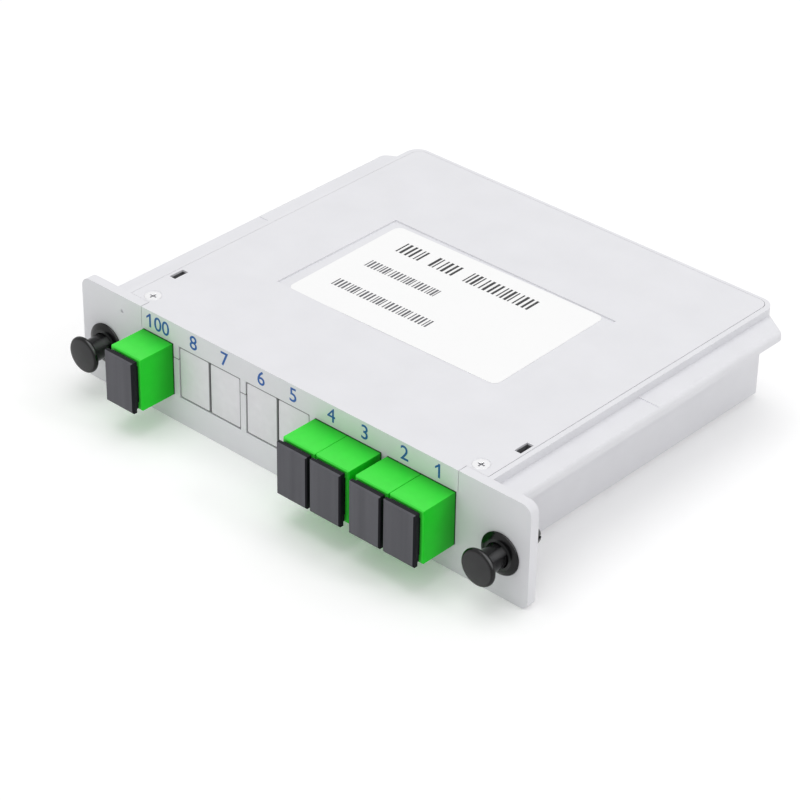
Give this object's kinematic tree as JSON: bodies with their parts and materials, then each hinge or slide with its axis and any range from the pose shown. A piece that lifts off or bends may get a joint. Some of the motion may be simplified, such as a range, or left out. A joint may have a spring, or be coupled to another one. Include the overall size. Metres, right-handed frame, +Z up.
{
  "type": "fibre splitter cassette",
  "caption": "Flat slide-in cassette that splits one optical fibre into several, with green capped couplers, blanking plates and push latches on its front panel.",
  "frame": {"origin": "middle of the cassette's flat underside, halfway between the panel's front face and the rear wall's outside", "axes": "+X along the front panel towards its right end seen from the front, +Y from the panel to the rear, +Z up"},
  "size_m": [0.13, 0.1085, 0.025],
  "materials": {
    "housing": "fine satin moulded texture, light grey",
    "blank": "fine satin moulded texture, light grey",
    "screw": "bright plated steel",
    "label": "white film, satin",
    "coupler": "green, smooth",
    "ceramic": "polished white ceramic",
    "cap": "black, satin",
    "latch": "black nylon, glossy",
    "module": "brushed"
  },
  "bodies": {
    "cassette": {"base_tray": "housing", "top_cover": "housing", "cover_screw_left": "screw", "cover_screw_right": "screw", "label": "label", "coupler_input": "coupler", "coupler_port_4": "coupler", "coupler_port_3": "coupler", "coupler_port_2": "coupler", "coupler_port_1": "coupler", "sleeve_input": "ceramic", "sleeve_port_4": "ceramic", "sleeve_port_3": "ceramic", "sleeve_port_2": "ceramic", "sleeve_port_1": "ceramic", "blank_port_8": "blank", "blank_port_7": "blank", "blank_port_6": "blank", "blank_port_5": "blank", "latch_grommet_left": "latch", "latch_grommet_right": "latch", "splitter_module": "module"},
    "dust_cap_input": {"dust_cap_input": "cap"},
    "dust_cap_port_4": {"dust_cap_port_4": "cap"},
    "dust_cap_port_3": {"dust_cap_port_3": "cap"},
    "dust_cap_port_2": {"dust_cap_port_2": "cap"},
    "dust_cap_port_1": {"dust_cap_port_1": "cap"},
    "latch_plunger_left": {"latch_plunger_left": "latch"},
    "latch_plunger_right": {"latch_plunger_right": "latch"}
  },
  "joints": [
    {"name": "latch_left_push", "type": "slide", "parent": "cassette", "child": "latch_plunger_left", "axis": [0, 1, 0], "range_m": [0, 0.0049]},
    {"name": "latch_right_push", "type": "slide", "parent": "cassette", "child": "latch_plunger_right", "axis": [0, 1, 0], "range_m": [0, 0.0049]},
    {"name": "dust_cap_input_pull", "type": "slide", "parent": "cassette", "child": "dust_cap_input", "axis": [0, -1, 0], "range_m": [0, 0.015]},
    {"name": "dust_cap_port_4_pull", "type": "slide", "parent": "cassette", "child": "dust_cap_port_4", "axis": [0, -1, 0], "range_m": [0, 0.015]},
    {"name": "dust_cap_port_3_pull", "type": "slide", "parent": "cassette", "child": "dust_cap_port_3", "axis": [0, -1, 0], "range_m": [0, 0.015]},
    {"name": "dust_cap_port_2_pull", "type": "slide", "parent": "cassette", "child": "dust_cap_port_2", "axis": [0, -1, 0], "range_m": [0, 0.015]},
    {"name": "dust_cap_port_1_pull", "type": "slide", "parent": "cassette", "child": "dust_cap_port_1", "axis": [0, -1, 0], "range_m": [0, 0.015]}
  ]
}
